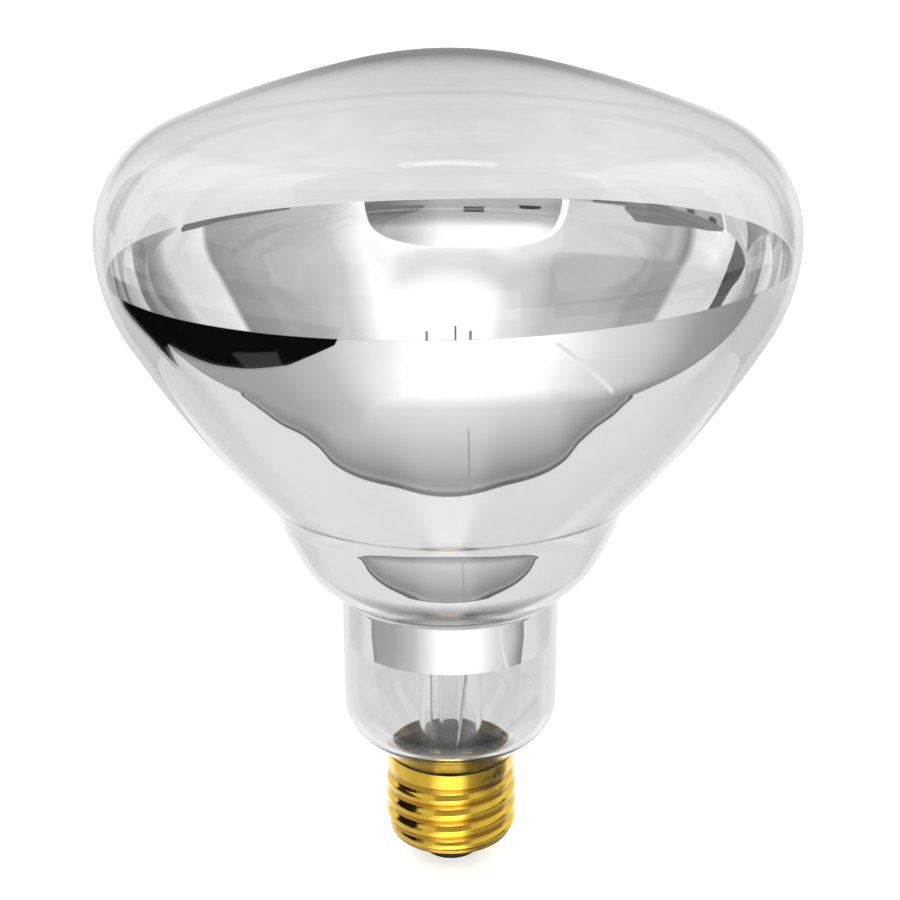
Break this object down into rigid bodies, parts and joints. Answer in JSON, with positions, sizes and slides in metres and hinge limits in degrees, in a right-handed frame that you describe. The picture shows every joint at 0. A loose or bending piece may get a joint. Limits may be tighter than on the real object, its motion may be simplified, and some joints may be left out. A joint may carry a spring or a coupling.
{
  "type": "infrared heat lamp bulb",
  "caption": "Reflector heat lamp bulb with a clear domed face, a mirrored cone above a clear neck, and a brass screw base with a black insulator.",
  "frame": {"origin": "on the lamp's axis at the lowest point of the base contact", "axes": "+Z along the lamp's axis from the base to the crown, -Y towards the viewer of the picture, +X to their right"},
  "size_m": [0.127, 0.127, 0.1613],
  "materials": {
    "clear_glass": "clear, polished",
    "mirror_film": "bright mirror",
    "stem_glass": "clear, fire polished",
    "lead_wire": "drawn nickel wire",
    "filament_wire": "drawn tungsten wire",
    "support_wire": "drawn wire",
    "brass": "bright rolled sheet",
    "black_glass": "glossy black",
    "contact_metal": "stamped sheet",
    "solder": "dull solder",
    "cement": "baked, matt"
  },
  "bodies": {
    "root": {"glass_envelope": "clear_glass", "mirror_coating": "mirror_film", "glass_stem": "stem_glass", "exhaust_tube": "stem_glass", "support_rod": "stem_glass", "lead_wire_contact": "lead_wire", "lead_wire_shell": "lead_wire", "filament": "filament_wire", "base_shell": "brass", "base_insulator": "black_glass", "base_contact": "contact_metal", "contact_solder": "solder", "basing_cement": "cement", "support_wire_left": "support_wire", "support_wire_back": "support_wire", "support_wire_right": "support_wire"}
  },
  "joints": []
}
